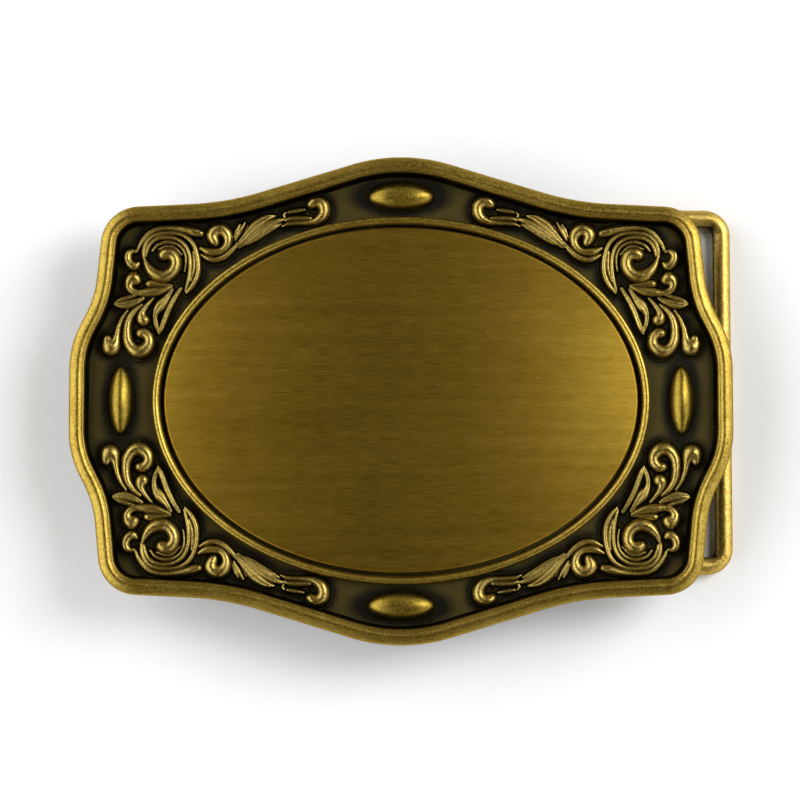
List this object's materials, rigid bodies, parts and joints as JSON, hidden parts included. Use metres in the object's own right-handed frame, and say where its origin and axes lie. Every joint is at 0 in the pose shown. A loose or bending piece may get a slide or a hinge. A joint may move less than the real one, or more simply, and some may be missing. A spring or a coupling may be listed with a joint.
{
  "type": "belt buckle",
  "caption": "Plate buckle with a wavy rim, an oval centre plate and scroll ornament, a hinged wire bail and a hook pin behind for a strap with holes.",
  "frame": {"origin": "middle of the oval centre plate's face", "axes": "+Z out of the buckle's front, +Y up as worn, +X towards the bail"},
  "size_m": [0.0907, 0.0664, 0.0108],
  "materials": {
    "ground_patina": "blackened antique patina, matt",
    "rim_brass": "antique brass, satin with a fine grain",
    "bezel_brass": "antique brass, satin",
    "brushed_brass": "antique brass, brushed along the length",
    "relief_brass": "antique brass, worn bright on the crests and black in the hollows",
    "boss_brass": "antique brass, satin",
    "wire_brass": "antique brass wire, satin",
    "fitting_brass": "antique brass, dull"
  },
  "bodies": {
    "plate": {"base_plate": "ground_patina", "rim_moulding": "rim_brass", "oval_bezel": "bezel_brass", "centre_plate": "brushed_brass", "boss_top": "boss_brass", "boss_bottom": "boss_brass", "boss_left": "boss_brass", "boss_right": "boss_brass", "volute_upper_right": "relief_brass", "volute_upper_left": "relief_brass", "volute_lower_left": "relief_brass", "volute_lower_right": "relief_brass", "leaf_spray_upper_right": "relief_brass", "leaf_spray_upper_left": "relief_brass", "leaf_spray_lower_left": "relief_brass", "leaf_spray_lower_right": "relief_brass", "curl_spray_upper_right": "relief_brass", "curl_spray_upper_left": "relief_brass", "curl_spray_lower_left": "relief_brass", "curl_spray_lower_right": "relief_brass", "hook_stud": "fitting_brass", "bail_lug_upper": "fitting_brass", "bail_lug_lower": "fitting_brass"},
    "bail": {"bail": "wire_brass"}
  },
  "joints": [
    {"name": "bail_hinge", "type": "hinge", "parent": "plate", "child": "bail", "pos_m": [0.026, 0, -0.0075], "axis": [0, 1, 0], "range_deg": [-13, 185]}
  ]
}
